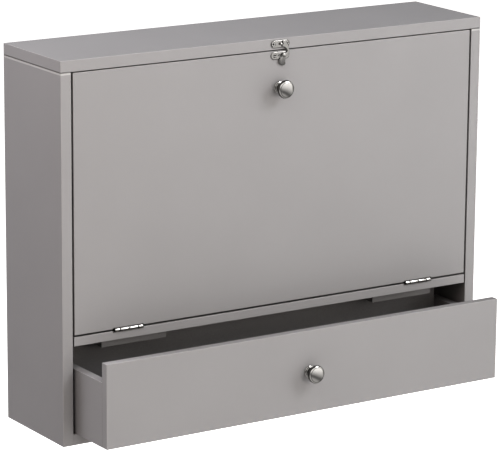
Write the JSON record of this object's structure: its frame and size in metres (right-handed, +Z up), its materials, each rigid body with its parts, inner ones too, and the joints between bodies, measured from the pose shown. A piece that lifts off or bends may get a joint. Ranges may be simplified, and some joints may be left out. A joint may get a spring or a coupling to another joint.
{
  "type": "fold-down wall desk",
  "caption": "Shallow painted wall cabinet with an inset door that folds down on butt hinges and folding stays to make a writing surface, a swing-hook latch, and a drawer below.",
  "frame": {"origin": "centre of the four wall screw holes, on the wall plane at the cabinet's back", "axes": "+X to the right seen from the front, +Y into the wall, +Z up"},
  "size_m": [0.66, 0.2513, 0.5091],
  "materials": {
    "grey_paint": "satin grey paint on fibreboard",
    "hardboard": "bare brown hardboard",
    "beech": "plain beech dowel",
    "nickel": "polished nickel plate",
    "zinc": "bright zinc plate"
  },
  "bodies": {
    "cabinet": {"top_panel": "grey_paint", "left_side_panel": "grey_paint", "right_side_panel": "grey_paint", "bottom_panel": "grey_paint", "shelf_panel": "grey_paint", "back_panel": "hardboard", "upper_wall_rail": "grey_paint", "lower_wall_rail": "grey_paint", "left_drawer_stop": "grey_paint", "right_drawer_stop": "grey_paint", "left_door_stop": "grey_paint", "right_door_stop": "grey_paint", "carcass_dowels": "beech", "back_panel_screws": "zinc", "left_hinge_shelf_leaf": "nickel", "right_hinge_shelf_leaf": "nickel", "left_hinge_pin": "nickel", "right_hinge_pin": "nickel", "shelf_hinge_screws": "nickel", "latch_strike_plate": "nickel", "latch_strike_stud": "nickel", "strike_plate_screws": "nickel", "left_stay_wall_plate": "zinc", "right_stay_wall_plate": "zinc", "stay_wall_rivets": "zinc", "stay_wall_screws": "zinc"},
    "door": {"door_panel": "grey_paint", "left_hinge_door_leaf": "nickel", "right_hinge_door_leaf": "nickel", "door_hinge_screws": "nickel", "door_knob": "nickel", "door_knob_bolt": "zinc", "latch_pivot_plate": "nickel", "latch_pivot_rivet": "nickel", "pivot_plate_screws": "nickel", "left_stay_door_bracket": "zinc", "right_stay_door_bracket": "zinc", "stay_door_rivets": "zinc", "stay_door_screws": "zinc"},
    "drawer": {"drawer_front": "grey_paint", "drawer_left_side": "grey_paint", "drawer_right_side": "grey_paint", "drawer_back": "grey_paint", "drawer_bottom": "hardboard", "drawer_knob": "nickel", "drawer_knob_bolt": "zinc", "drawer_dowels": "beech"},
    "latch_hook": {"latch_hook": "nickel"},
    "left_stay_wall_link": {"left_stay_wall_link": "zinc", "left_stay_knuckle_rivet": "zinc"},
    "left_stay_door_link": {"left_stay_door_link": "zinc", "left_stay_knuckle_cap": "zinc"},
    "right_stay_wall_link": {"right_stay_wall_link": "zinc", "right_stay_knuckle_rivet": "zinc"},
    "right_stay_door_link": {"right_stay_door_link": "zinc", "right_stay_knuckle_cap": "zinc"}
  },
  "joints": [
    {"name": "door_hinge", "type": "hinge", "parent": "cabinet", "child": "door", "pos_m": [0, -0.1524, -0.17285], "axis": [1, 0, 0], "range_deg": [0, 90]},
    {"name": "drawer_slide", "type": "slide", "parent": "cabinet", "child": "drawer", "axis": [0, -1, 0], "range_m": [-0.0818, 0.0165]},
    {"name": "latch_pivot", "type": "hinge", "parent": "door", "child": "latch_hook", "pos_m": [0.005, -0.1543, 0.16655], "axis": [0, 1, 0], "range_deg": [-6.99, 75]},
    {"name": "left_stay_wall_pivot", "type": "hinge", "parent": "cabinet", "child": "left_stay_wall_link", "pos_m": [-0.312, -0.07, -0.03885], "axis": [1, 0, 0], "range_deg": [-42.8, 0]},
    {"name": "left_stay_door_pivot", "type": "hinge", "parent": "door", "child": "left_stay_door_link", "pos_m": [-0.3095, -0.125, -0.08085], "axis": [1, 0, 0], "range_deg": [0, 16.5]},
    {"name": "right_stay_wall_pivot", "type": "hinge", "parent": "cabinet", "child": "right_stay_wall_link", "pos_m": [0.312, -0.07, -0.03885], "axis": [1, 0, 0], "range_deg": [-42.8, 0]},
    {"name": "right_stay_door_pivot", "type": "hinge", "parent": "door", "child": "right_stay_door_link", "pos_m": [0.3095, -0.125, -0.08085], "axis": [1, 0, 0], "range_deg": [0, 16.5]}
  ],
  "couplings": [
    {"joint": "left_stay_wall_pivot", "follows": "door_hinge", "ratio": -0.47367},
    {"joint": "left_stay_door_pivot", "follows": "door_hinge", "ratio": 0.18144},
    {"joint": "right_stay_wall_pivot", "follows": "door_hinge", "ratio": -0.47367},
    {"joint": "right_stay_door_pivot", "follows": "door_hinge", "ratio": 0.18144}
  ]
}
